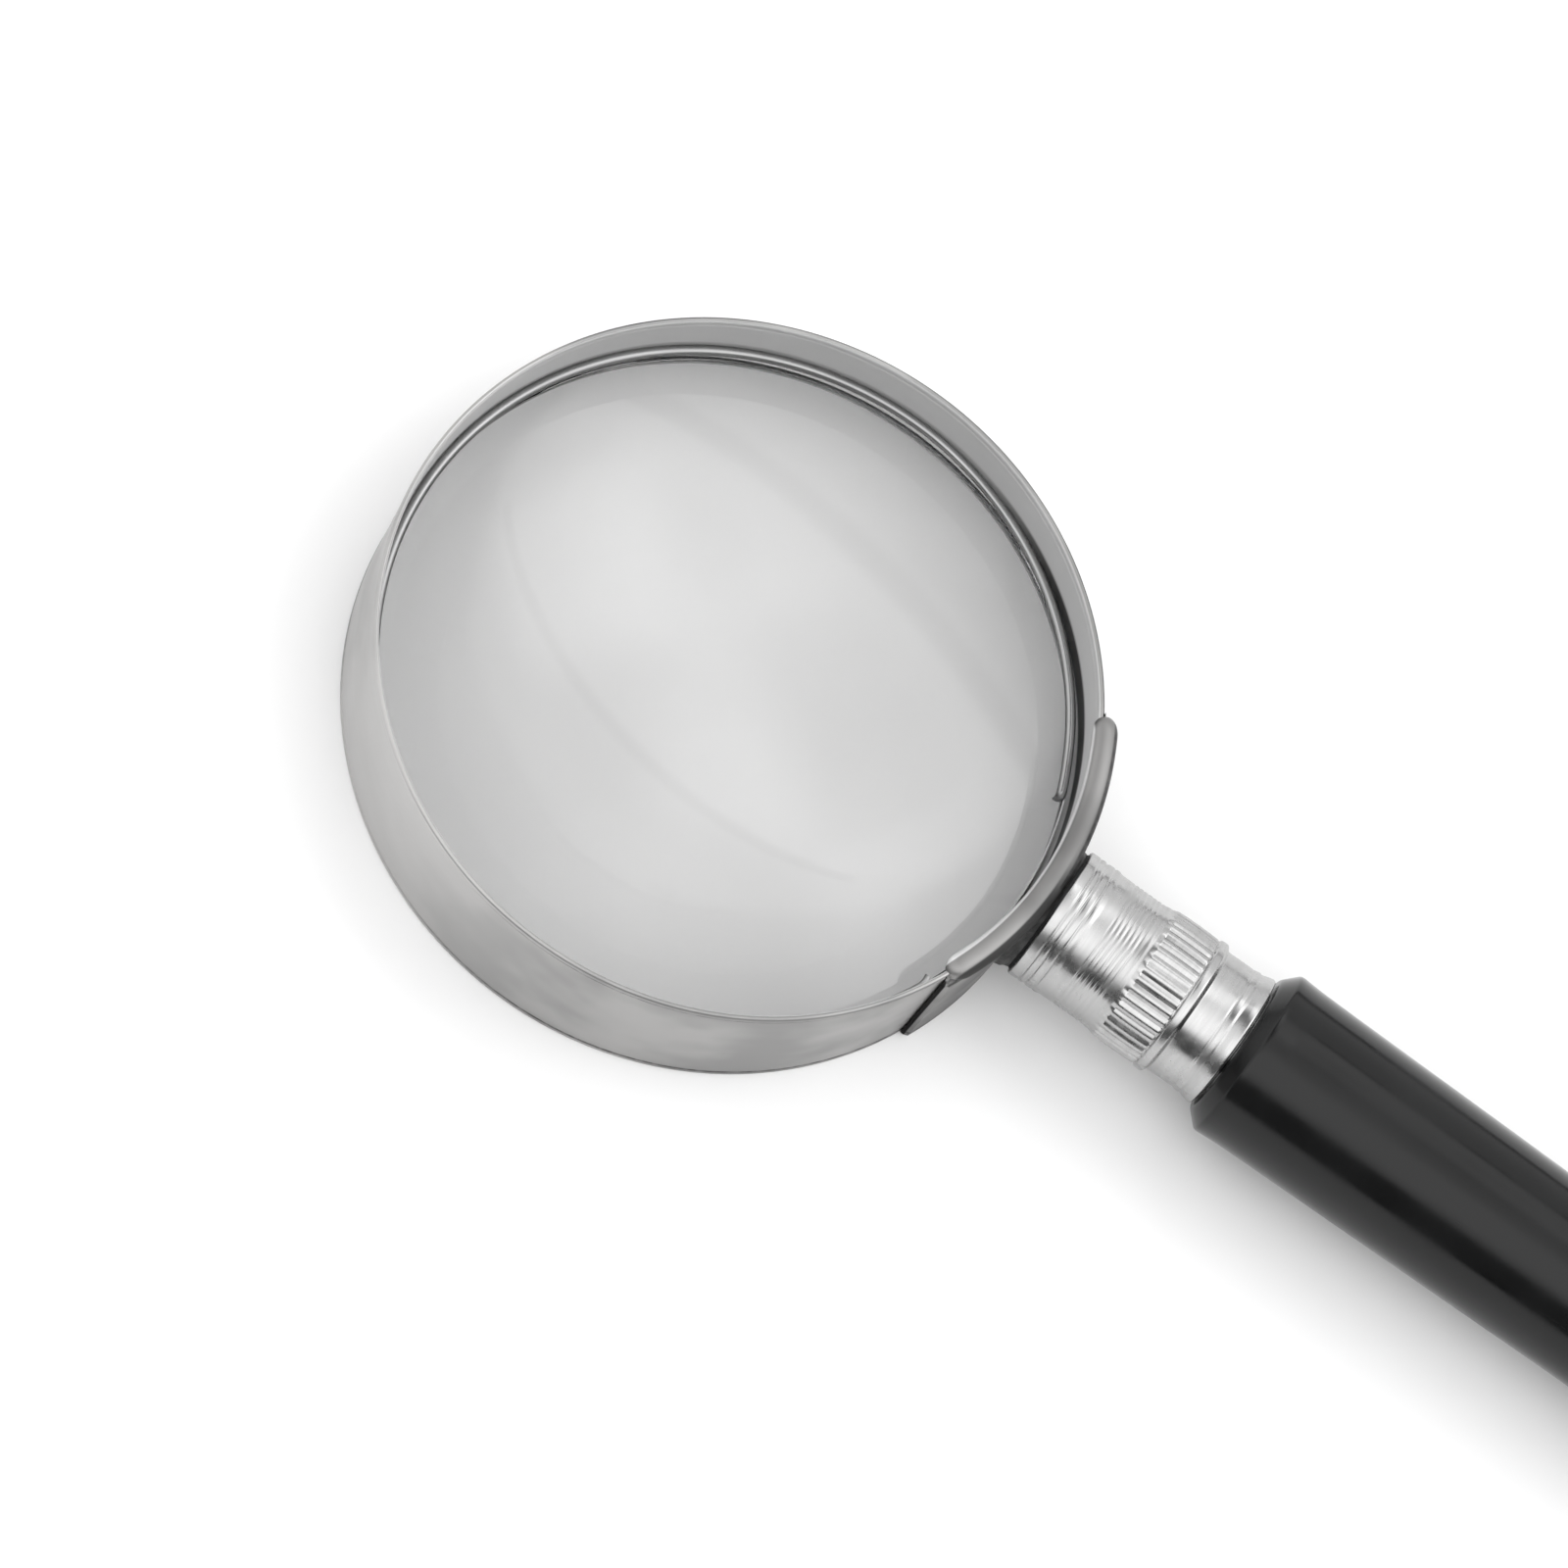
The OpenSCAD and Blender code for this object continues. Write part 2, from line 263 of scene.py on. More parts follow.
def rim_finish_and_painted_light(material):
    """The rim's finish and painted light. The outside is painted lighter on the side away from the grip. The
    inner face is dull and pale above the lens's seat, with painted shade behind the front ring that is
    darkest by the saddle, and painted shade on the front lip's inner corner on its far side."""
    tree, shader, place = reopen(material)
    hoop = around(tree, place, "Z", RIM_R)
    _, out, height = split_xyz(tree, hoop)
    # Painted light: the outside is painted lighter, in patches, on the side away from the grip.
    painted_lighter_side = times(tree, remap(tree, dot(tree, place, (-0.86, -0.5, 0)), 10 * MM, 29 * MM, 0, 1),
                    remap(tree, noise(tree, hoop, 45), 0.35, 0.6, 0.45, 1))
    colour = blend_colours(tree, painted_lighter_side, linked(shader, "Base Color"), grey(0.504, 0.01))

    inside = remap(tree, out, RIM_INNER_R + 0.05 * MM, RIM_INNER_R + 0.15 * MM, 1, 0)
    dull = blend_colours(tree, cloudy(tree, hoop), grey(0.56), grey(0.72))
    colour = blend_colours(tree, inside, colour, dull)

    # Painted shade: a near-black band on the inner face behind the front ring, darkest by the saddle.
    ring_height = 1.9 * MM
    behind_ring = remap(tree, distance_to(tree, height, ring_height), 0.7 * MM, 1.3 * MM, 1, 0)
    by_saddle = remap(tree, dot(tree, place, (0.85, 0.5, 0)), 20 * MM, 28 * MM, 0.3, 0.97)
    painted_ring_shade = times(tree, times(tree, inside, behind_ring), by_saddle)
    colour = blend_colours(tree, painted_ring_shade, colour, grey(0.02))

    # Painted shade: the front lip's inner corner is painted dark on the far side.
    corner = times(tree, remap(tree, out, RIM_INNER_R + 0.28 * MM, RIM_INNER_R + 0.40 * MM, 0, 1),
                   remap(tree, height, RIM_HIGH.z - 0.30 * MM, RIM_HIGH.z - 0.12 * MM, 0, 1))
    far_side = remap(tree, dot(tree, place, (0.35, 1, 0)), 2 * MM, 12 * MM, 0, 0.9)
    colour = blend_colours(tree, times(tree, corner, far_side), colour, grey(0.06))
    feed(tree, colour, shader.inputs["Base Color"])

    rough = math_node(tree, "MULTIPLY_ADD", inside, 0.2, linked(shader, "Roughness"))
    feed(tree, rough, shader.inputs["Roughness"])
    less_metallic = remap(tree, height, -1.6 * MM, -0.6 * MM, -0.1, -0.85)
    feed(tree, math_node(tree, "MULTIPLY_ADD", inside, less_metallic, 1), shader.inputs["Metallic"])
    return material


def saddle_painted_light_and_shade(material):
    """Painted light and shade on the saddle: painted shade on its two cut ends, on the outer side of its bead
    and, along the near arm up to the boss, further in under the bead, and a painted highlight along the
    bead's inner edge."""
    tree, shader, place = reopen(material)
    angle, out, height = split_xyz(tree, around(tree, place, "Z", 1.0))
    inset, soft = math.radians(0.05), math.radians(0.12)
    # Painted shade: the two cut ends are painted near black, low on the skirt.
    cut = math_node(tree, "MAXIMUM",
                    remap(tree, angle, SADDLE_FROM + inset, SADDLE_FROM + inset + soft, 1, 0),
                    remap(tree, angle, SADDLE_TO - inset - soft, SADDLE_TO - inset, 0, 1))
    cut = times(tree, cut, remap(tree, height, 6.3 * MM, 6.7 * MM, 1, 0))
    # Painted shade, patchy, along the outer side of the bead.
    patchy = remap(tree, noise(tree, place, 700, 4.0, 0.6), 0.3, 0.65, 0.75, 1)
    outer = times(tree, remap(tree, out, 31.67 * MM, 31.88 * MM, 0, 0.85), patchy)
    # Painted shade reaching further in under the bead along the near arm, up to the boss.
    painted_near_arm_shade = times(tree, remap(tree, angle, math.radians(-4), math.radians(8), 0.85, 0),
                     times(tree, remap(tree, out, 31.36 * MM, 31.56 * MM, 0, 1),
                           remap(tree, height, 5.6 * MM, 5.9 * MM, 0, 1)))
    painted_shade = math_node(tree, "MAXIMUM", cut, math_node(tree, "MAXIMUM", outer, painted_near_arm_shade))
    # Painted highlight: a bright line along the bead's inner edge.
    painted_highlight_mask = times(tree, remap(tree, out, 30.06 * MM, 30.22 * MM, 1, 0),
                 remap(tree, height, 6.6 * MM, 6.8 * MM, 0, 1))
    with_painted_highlight = blend_colours(tree, painted_highlight_mask, linked(shader, "Base Color"), grey(0.88))
    feed(tree, blend_colours(tree, painted_shade, with_painted_highlight, grey(0.010)), shader.inputs["Base Color"])
    feed(tree, math_node(tree, "SUBTRACT", 1, painted_shade), shader.inputs["Metallic"])
    feed(tree, math_node(tree, "MULTIPLY_ADD", painted_shade, -0.45, 0.5), shader.inputs["Specular IOR Level"])
    return material


def spring_wire():
    """Hard-drawn steel wire: long draw marks and darker patches."""
    material, tree, shader, place = new_material("spring_wire", Metallic=1.0)
    hoop = around(tree, place, "Z", LENS_R)
    marks = noise(tree, stretched(tree, hoop, (20, 2500, 2500)), 1, 3.0)
    patches = noise(tree, place, 180, 3.0)
    feed(tree, blend_colours(tree, patches, grey(0.28), grey(0.42)), shader.inputs["Base Color"])
    feed(tree, remap(tree, marks, 0.2, 0.8, 0.22, 0.42), shader.inputs["Roughness"])
    feed(tree, bump(tree, marks, 0.004 * MM, 0.6), shader.inputs["Normal"])
    return material


def turned_metal(name, dark, light, rough, pitch, depth, radius):
    """Turned metal: fine tool marks round the axis, streaks that break them up, and small stains. pitch is
    the spacing of the tool marks and depth their depth. Seen edge-on it stays a little dull."""
    material, tree, shader, place = new_material(name, Metallic=1.0, Specular_Tint=grey(0.85))
    drum = around(tree, place, "X", radius)
    marks = noise(tree, stretched(tree, drum, (60, 1, 1 / pitch)), 1, 4.0, 0.65)
    streaks = noise(tree, stretched(tree, drum, (160, 1, 2200)), 1, 4.0, 0.7)
    stains = noise(tree, place, 420, 4.0, 0.6)
    tone = math_node(tree, "MULTIPLY_ADD", remap(tree, streaks, 0.32, 0.66, 0, 1), 0.6,
                     times(tree, stains, 0.4))
    feed(tree, blend_colours(tree, tone, dark, light), shader.inputs["Base Color"])
    feed(tree, remap(tree, stains, 0.3, 0.7, rough * 0.75, rough * 1.4), shader.inputs["Roughness"])
    under = bump(tree, marks, depth, 0.8)
    feed(tree, bump(tree, streaks, depth * 0.5, 0.5, under), shader.inputs["Normal"])
    return material


def black_plastic():
    """Glossy moulded plastic: slight orange peel, hairline scratches along the grip, dull handling marks."""
    material, tree, shader, place = new_material("handle_plastic", IOR=1.5, Specular_IOR_Level=0.30)
    grip = around(tree, place, "X", HANDLE_HIGH.y)
    scratches = noise(tree, stretched(tree, grip, (5200, 1, 90)), 1, 3.0, 0.7)
    handling = noise(tree, place, 130, 4.0, 0.55)
    peel = noise(tree, place, 900, 2.0)
    feed(tree, blend_colours(tree, handling, grey(0.004), grey(0.009, -0.03)), shader.inputs["Base Color"])
    dull = math_node(tree, "MULTIPLY_ADD", remap(tree, scratches, 0.62, 0.78, 0, 1), 0.12,
                     remap(tree, handling, 0.3, 0.7, 0.13, 0.24))
    feed(tree, dull, shader.inputs["Roughness"])
    under = bump(tree, peel, 0.012 * MM, 0.35)
    feed(tree, bump(tree, scratches, 0.003 * MM, 0.35, under), shader.inputs["Normal"])
    return material


def washer_fibre():
    """Pressed black fibre: matt, with a coarse felted grain."""
    material, tree, shader, place = new_material("washer_fibre")
    felt = noise(tree, stretched(tree, place, (3, 1, 1)), 1800, 5.0, 0.7)
    feed(tree, blend_colours(tree, felt, grey(0.004), grey(0.014)), shader.inputs["Base Color"])
    feed(tree, remap(tree, felt, 0.3, 0.7, 0.6, 0.9), shader.inputs["Roughness"])
    feed(tree, bump(tree, felt, 0.03 * MM, 0.6), shader.inputs["Normal"])
    return material


def lens_glass():
    """Slightly grey optical glass with a breath of haze, and wiping marks where it is a little less sharp."""
    material, tree, shader, place = new_material("lens_glass", IOR=1.52, Transmission_Weight=1.0)
    haze = noise(tree, place, 60, 4.0, 0.6)
    wipe = noise(tree, stretched(tree, place, (260, 40, 40)), 1, 3.0, 0.6)
    feed(tree, blend_colours(tree, haze, grey(0.935), grey(0.955, 0.001)), shader.inputs["Base Color"])
    feed(tree, remap(tree, times(tree, haze, wipe), 0.2, 0.4, 0.0, 0.02), shader.inputs["Roughness"])
    return material


# ---------------------------------------------------------------- mesh helpers

def new_piece(name, points, faces, material, body, slot, *replaced, sharp=35):
    """A mesh piece that rides on a body and stands for CAD nodes."""
    mesh = bpy.data.meshes.new(name)
    mesh.from_pydata([p[:] for p in points], [], faces)
    mesh.validate()
    mesh.materials.append(material)
    mesh.polygons.foreach_set("use_smooth", [True] * len(mesh.polygons))
    mesh.set_sharp_from_angle(angle=math.radians(sharp))
    piece = bpy.data.objects.new(name, mesh)
    bpy.context.scene.collection.objects.link(piece)
    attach(piece, body)
    if replaced:
        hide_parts(*replaced)
    return piece


def grid_faces(rows, columns):
    """Quads of a tube of rings, each ring closed on itself."""
    faces = []
    for row in range(rows - 1):
        for column in range(columns):
            ahead = (column + 1) % columns
            a, b = row * columns + column, row * columns + ahead
            faces.append((a, b, b + columns, a + columns))
    return faces


def sweep_faces(stations, rows):
    """Faces of a closed section of rows points that is swept through stations, with both its ends closed."""
    last = (stations - 1) * rows
    faces = [tuple(reversed(face)) for face in grid_faces(stations, rows)]
    return faces + [tuple(range(rows)), tuple(range(last, last + rows))[::-1]]


def fillet(outline, radius, steps=4):
    """Rounds the corners of an open outline of (along, out) points by up to radius."""
    rounded = [outline[0]]
    for before, corner, after in zip(outline, outline[1:], outline[2:]):
        a, c, b = Vector(before), Vector(corner), Vector(after)
        reach = min(radius, (a - c).length * 0.45, (b - c).length * 0.45)
        start, end = c + (a - c).normalized() * reach, c + (b - c).normalized() * reach
        for step in range(steps + 1):
            t = step / steps
            rounded.append(tuple((1 - t) ** 2 * start + 2 * t * (1 - t) * c + t * t * end))
    rounded.append(outline[-1])
    return rounded


def on_neck(along, out, angle):
    """A point at a distance along the neck's axis, off the axis by out, at an angle round it."""
    return Vector((along, out * math.cos(angle), NECK_Z + out * math.sin(angle)))


def on_optical_axis(along, out, angle):
    """The same round the optical axis, where the angle starts at the grip."""
    return Vector((out * math.cos(angle), out * math.sin(angle), along))


def lathe(outline, segments, place=on_neck, radius_at=None, bored=False):
    """Turns an outline of (along, out) points into rings of points. A bored piece has its last ring joined to
    its first, and any other has both its ends closed. radius_at changes the radius of a point."""
    points = []
    for along, out in outline:
        for column in range(segments):
            angle = TURN * column / segments
            here = radius_at(along, out, angle) if radius_at else out
            points.append(place(along, here, angle))
    faces = grid_faces(len(outline), segments)
    last = (len(outline) - 1) * segments
    if bored:
        for column in range(segments):
            ahead = (column + 1) % segments
            faces.append((last + column, last + ahead, ahead, column))
    else:
        faces += [tuple(range(segments))[::-1], tuple(range(last, last + segments))]
    return points, faces


# ---------------------------------------------------------------- pieces

def make_lens(material):
    """Two spherical faces that meet the ground edge in small bevels."""
    half_edge, bevel = 1.8 * MM, 0.25 * MM
    centre = LENS_FACE_R - LENS_HIGH.z
    rings = 40
    face = [(math.sqrt(LENS_FACE_R ** 2 - out ** 2) - centre, out)
            for out in ((LENS_R - bevel) * (1 - (1 - i / rings) ** 1.3) for i in range(rings + 1))]
    face[0] = (LENS_HIGH.z, 0.01 * MM)
    edge = [(half_edge - bevel, LENS_R), (bevel - half_edge, LENS_R)]
    outline = face + fillet([face[-1]] + edge + [(-face[-1][0], face[-1][1])], 0.1 * MM)[1:-1]
    outline += [(-along, out) for along, out in reversed(face)]
    points, faces = lathe(outline[::-1], 256, on_optical_axis)
    return new_piece("lens_blank", points, faces, material, "head", "lens_glass", "lens", sharp=20)


def make_rim(material):
    """The rim's strip, with a small bead rolled along each edge. It is split under the saddle, and trimmed at
    the back there to make room for the saddle's hook."""
    crease, corner = 0.07 * MM, 0.16 * MM
    hook_room, margin = 0.55 * MM, math.radians(0.3)
    half_gap = math.asin(0.5 * MM / RIM_R)
    outer, inner = RIM_R, RIM_INNER_R
    wall = outer - 0.05 * MM
    top = RIM_HIGH.z
    bead = top - ROLL_HEIGHT
    half = [(0, wall), (bead - 0.16 * MM, wall), (bead, wall - crease), (bead + 0.14 * MM, outer),
            (top - corner, outer), (top, outer - corner), (top, inner + corner), (top - corner, inner),
            (bead, inner), (bead - 0.1 * MM, inner + crease), (bead - 0.3 * MM, inner), (0, inner)]
    half = fillet(half, 0.12 * MM, 3)[1:-1]
    ring = half + [(-along, out) for along, out in reversed(half)]
    columns = 720
    points = []
    for column in range(columns + 1):
        angle = half_gap + (TURN - 2 * half_gap) * column / columns
        turned = angle if angle < math.pi else angle - TURN
        trimmed = SADDLE_FROM - margin < turned < SADDLE_TO + margin
        for along, out in ring:
            if trimmed:
                along = max(along, hook_room - top)
            points.append(on_optical_axis(along, out, angle))
    faces = sweep_faces(columns + 1, len(ring))
    return new_piece("rim_strip", points, faces, material, "head", "rim_metal", "rim_band")


def make_front_ring(material):
    """The sprung wire ring: it lies against the wall, stands off it beside the neck, and both its ends are
    bent in. It follows the lens's face all the way round."""
    wire_r, on_wall, clearance, end_lift = 0.44 * MM, 30.0 * MM, 0.03 * MM, 0.3 * MM
    first, last = math.radians(17), math.radians(337)
    stand_off, middle, reach = 0.66 * MM, math.radians(24), math.radians(62)
    bend, sides, steps = 0.9 * MM, 16, 360
    points = []
    for step in range(steps + 1):
        share = step / steps
        angle = first + (last - first) * (0.5 - 0.5 * math.cos(math.pi * share))
        near = min(abs(angle - middle) / reach, 1)
        ring_r = on_wall - stand_off * (1 - near ** 1.3)
        from_end = min(angle - first, last - angle) * ring_r
        hook = end_lift * max(0, 1 - from_end / bend) ** 2
        seat = math.sqrt((LENS_FACE_R + wire_r + clearance) ** 2 - ring_r ** 2) - LENS_FACE_R + LENS_HIGH.z
        for side in range(sides):
            round_it = TURN * side / sides
            out = ring_r - hook + wire_r * math.cos(round_it)
            points.append(on_optical_axis(seat + hook + wire_r * math.sin(round_it), out, angle))
    faces = sweep_faces(steps + 1, sides)
    return new_piece("front_ring_sprung", points, faces, material, "head", "spring_wire",
                     "front_retaining_ring")


def saddle_section(swell, skirt, bite):
    """The saddle's closed cross-section as (height, radius) points: a skirt outside the rim, a bead curled
    over its front lip and a hook under its back. swell is the bead's size, from 0 at its end to 1, and skirt
    is the skirt's thickness, less at its chamfered ends. bite moves the bead inwards over the lip."""
    inside, top, hook_r = 31.05 * MM, RIM_HIGH.z, 29.9 * MM
    outside = inside + skirt
    bottom = FLOOR_Z
    centre_r, centre_z, bead_r = 31.1 * MM - bite, 6.9 * MM, 1.13 * MM
    arc_from, arc_to, steps = math.radians(-32), math.radians(172), 18
    section = [(bottom + 0.2 * MM, outside), (0, outside), (5.7 * MM, outside)]
    for step in range(steps + 1):
        angle = arc_from + (arc_to - arc_from) * step / steps
        flat = 1 - 0.14 * max(0, math.sin(angle))
        out = centre_r + bead_r * swell * math.cos(angle)
        along = centre_z + bead_r * swell * flat * math.sin(angle)
        section.append((along, max(out, inside + 0.02 * MM) if swell < 0.15 else out))
    lip = top + 0.06 * MM
    inner = centre_r - bead_r * swell
    section += [(centre_z - 0.14 * MM * swell, inner + 0.1 * MM * swell),
                (centre_z - 0.12 * MM * swell, inner + 0.42 * MM * swell),
                (lip, min(inner + 0.55 * MM, inside)), (lip, inside), (top - 0.3 * MM, inside), (0, inside),
                (bottom + 0.5 * MM, inside), (bottom + 0.5 * MM, hook_r + 0.05 * MM),
                (bottom + 0.1 * MM, hook_r), (bottom, hook_r + 0.1 * MM), (bottom, outside - 0.2 * MM)]
    return section


def make_saddle(material):
    """The pressed saddle clip: skirt, curled bead with round ends, hook, and the boss the neck bears on."""
    round_end = 1.6 * MM / RIM_R
    tab = 0.3 * MM / RIM_R
    skirt, chamfer = 0.6 * MM, 0.3 * MM
    plain, closing = 110, 14
    first, last = SADDLE_FROM + tab, SADDLE_TO - tab
    ramp = [first + round_end * (1 - math.cos(math.pi / 2 * i / closing)) for i in range(closing + 1)]
    middle = [ramp[-1] + (last + first - 2 * ramp[-1]) * i / plain for i in range(1, plain)]
    angles = [SADDLE_FROM] + ramp + middle + [last + first - a for a in reversed(ramp)] + [SADDLE_TO]
    points = []
    for angle in angles:
        from_end = min(angle - first, last - angle)
        share = min(max(from_end / round_end, 0), 1)
        swell = math.sqrt(1 - (1 - share) ** 2)
        thickness = skirt - (chamfer if angle in (SADDLE_FROM, SADDLE_TO) else 0)
        bite = 0.4 * MM * max(0, angle / SADDLE_FROM) ** 1.5
        section = saddle_section(max(swell, 0.02), thickness, bite)
        points += [on_optical_axis(along, out, angle) for along, out in section]
    faces = sweep_faces(len(angles), len(points) // len(angles))

    boss_r, boss_top, hole_r, base_r = 5.75 * MM, 6.7 * MM, 2.6 * MM, 31.12 * MM
    face_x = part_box("neck_washer")[0].x
    outline = [(0, hole_r), (0, boss_r + 0.5 * MM), (face_x - 0.72 * MM, boss_r + 0.28 * MM),
               (face_x - 0.42 * MM, boss_r), (face_x, boss_r - 0.05 * MM), (face_x, hole_r)]
    outline = fillet(outline, 0.22 * MM)

    def on_boss(along, out, angle):
        """Round the neck, down to the skirt's face and cut flat below the bead."""
        y = out * math.cos(angle)
        z = min(NECK_Z + out * math.sin(angle), boss_top)
        return Vector((max(along, math.sqrt(base_r ** 2 - y ** 2)), y, z))

    base = len(points)
    boss_points, boss_faces = lathe(outline, 128, on_boss, bored=True)
    points += boss_points
    faces += [tuple(base + i for i in face) for face in boss_faces]
    return new_piece("saddle_pressing", points, faces, material, "head", "saddle_metal", "saddle_clip")


def make_washer(material):
    """The fibre washer, squeezed between boss and ferrule so that its edge bulges a little."""
    low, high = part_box("neck_washer")
    edge_r, hole_r = 5.72 * MM, 2.62 * MM
    middle = (low.x + high.x) / 2
    outline = [(low.x, hole_r), (low.x, edge_r - 0.06 * MM), (low.x + 0.08 * MM, edge_r),
               (middle, edge_r + 0.05 * MM), (high.x - 0.08 * MM, edge_r), (high.x, edge_r - 0.06 * MM),
               (high.x, hole_r)]
    points, faces = lathe(outline, 128, bored=True)
    return new_piece("washer_pressed", points, faces, material, "neck", "washer_fibre", "neck_washer")


def ferrule_outline():
    """The ferrule's outline in metres from its front face: a cup over the washer, turned rings, the fluted
    drum, the waist and the mouth. The points are written in millimetres."""
    neck, barrel, drum, ring, waist, mouth = 6.1, 5.98, 6.22, 6.38, 5.9, 6.2
    steps = [
        (0, 4.3), (0, 5.84), (-0.22, 5.84), (-0.22, neck - 0.1), (-0.12, neck), (0.62, neck),
        (0.78, neck - 0.1), (0.94, neck), (1.2, neck), (1.4, neck - 0.12), (1.6, neck), (2.05, neck),
        (2.2, neck - 0.1), (2.35, neck), (2.6, neck), (2.95, barrel), (4.1, barrel)
    ]
    grooves, fine_pitch = 7, 0.45
    for groove in range(grooves):
        at = 4.3 + groove * fine_pitch
        steps += [(at - 0.12, barrel), (at, barrel - 0.07), (at + 0.12, barrel)]
    steps += [
        (7.45, barrel), (7.7, barrel + 0.08), (8.0, barrel + 0.06), (8.5, drum), (9.4, drum + 0.05),
        (10.6, drum + 0.06), (11.8, drum + 0.04), (12.5, drum), (12.62, drum - 0.1), (12.8, ring - 0.04),
        (12.95, ring), (13.35, ring), (13.5, ring - 0.04), (13.8, waist), (16.2, waist),
        (16.35, waist - 0.06), (16.5, waist + 0.02), (16.95, waist + 0.1), (17.15, waist + 0.02),
        (17.35, waist + 0.08), (17.75, waist + 0.2), (18.2, mouth), (18.4, mouth - 0.08), (18.4, 5.0),
        (18.65, 5.0), (18.65, 4.3)
    ]
    return [(along * MM, out * MM) for along, out in steps]


def make_ferrule(material):
    """The turned ferrule, with a band of rolled flutes."""
    flutes, per_flute, rows = 40, 10, 9
    start, end, run_out, depth = 8.55 * MM, 12.45 * MM, 0.25 * MM, 0.17 * MM
    bore_r, outside_from = 4.3 * MM, 5.5 * MM
    front = FERRULE_LOW.x

    def fluted(along, out, angle):
        from_end = min(along - front - start, front + end - along)
        reach = min(max(from_end / run_out + 1, 0), 1)
        wave = 0.5 + 0.5 * math.cos(angle * flutes)
        return out - depth * reach * (1 - wave ** 0.6) if reach > 0 and out > bore_r else out

    outline = [(front + along, out) for along, out in fillet(ferrule_outline(), 0.08 * MM, 3)]
    for row in range(rows):
        along = front + start + (end - start) * row / (rows - 1)
        low = [p for p in outline if p[0] <= along and p[1] > outside_from][-1]
        high = [p for p in outline if p[0] > along and p[1] > outside_from][0]
        share = (along - low[0]) / (high[0] - low[0])
        outline.insert(outline.index(high), (along, low[1] + share * (high[1] - low[1])))
    points, faces = lathe(outline, flutes * per_flute, on_neck, fluted, bored=True)
    return new_piece("ferrule_turned", points, faces, material, "grip", "ferrule_plate", "ferrule")


def make_stud(material):
    """The stud: its square flange and a shank with a real 0.8 mm thread."""
    pitch, major, minor = 0.8 * MM, 2.5 * MM, 2.05 * MM
    run_out, tip, rows_per_turn = 0.8 * MM, 0.6 * MM, 16
    flange_end = STUD_LOW.x + 0.9 * MM
    thread_end = STUD_HIGH.x - tip

    def threaded(along, out, angle):
        """The thread's flanks and flat crests, which fade out at the flange and a little at the tip."""
        if along <= flange_end:
            return out
        turns = (along / pitch - angle / TURN) % 1
        crest = min(max(2.2 * abs(2 * turns - 1) - 0.45, 0), 1)
        held = min(1, (along - flange_end) / run_out, max(0, (STUD_HIGH.x - along) / tip) + 0.75)
        cut = minor + (major - minor) * crest
        return min(out, cut * held + minor * (1 - held))

    rows = round((thread_end - flange_end) / pitch * rows_per_turn)
    outline = [(STUD_LOW.x + 0.05 * MM, minor)]
    outline += [(flange_end + (thread_end - flange_end) * i / rows, major) for i in range(rows + 1)]
    outline += [(STUD_HIGH.x - 0.3 * MM, major - 0.35 * MM), (STUD_HIGH.x, minor - 0.25 * MM)]
    points, faces = lathe(outline, 48, on_neck, threaded)
    half = (STUD_HIGH.y - STUD_LOW.y) / 2
    chamfer = 0.3 * MM
    corners = [(half, half - chamfer), (half - chamfer, half)]
    corners += [(-y, z) for y, z in reversed(corners)]
    corners += [(-y, -z) for y, z in corners]
    base = len(points)
    for along in (STUD_LOW.x, flange_end):
        points += [Vector((along, y, NECK_Z + z)) for y, z in corners]
    count = len(corners)
    faces += [tuple(base + i for i in face) for face in grid_faces(2, count)]
    faces.append(tuple(range(base, base + count))[::-1])
    faces.append(tuple(range(base + count, base + 2 * count)))
    return new_piece("stud_threaded", points, faces, material, "head", "stud_steel", "clamp_stud")


def make_handle(material):
    """The moulded handle: a bevelled front edge, a slight taper and a straight rear, with softened edges. Its
    front is written in millimetres."""
    front, back = HANDLE_LOW.x, HANDLE_HIGH.x
    straight_r, taper_end = 7.2 * MM, back - 46.4 * MM
    steps = [(0, 4.2), (0, 6.4), (0.2, 6.68), (1.25, 7.73), (1.6, 7.77), (3.4, 7.65), (5.9, 7.6)]
    outline = [(front + along * MM, out * MM) for along, out in steps]
    outline += [(taper_end, straight_r), (back - 0.3 * MM, straight_r), (back, straight_r - 0.3 * MM),
                (back, 5.65 * MM)]
    points, faces = lathe(fillet(outline, 0.3 * MM), 160)
    return new_piece("handle_moulding", points, faces, material, "grip", "handle_plastic", "handle")


def make_end_cap(material):
    """The cap's rounded head, with a small witness dimple of its moulding in the middle."""
    back, start = CAP_HIGH.x, HANDLE_HIGH.x
    head_r = CAP_HIGH.y
    round_r = back - start
    steps = 14
    outline = [(start, 5.6 * MM), (start, head_r - 0.1 * MM), (start + 0.1 * MM, head_r)]
    for step in range(1, steps + 1):
        angle = math.pi / 2 * step / steps
        outline.append((start + round_r * math.sin(angle), head_r - round_r * (1 - math.cos(angle))))
    outline += [(back, 1.5 * MM), (back - 0.15 * MM, 1.2 * MM), (back - 0.2 * MM, 0.05 * MM)]
    points, faces = lathe(outline, 160)
    return new_piece("end_cap_moulding", points, faces, material, "grip", "handle_plastic", "end_cap")


# ---------------------------------------------------------------- stage

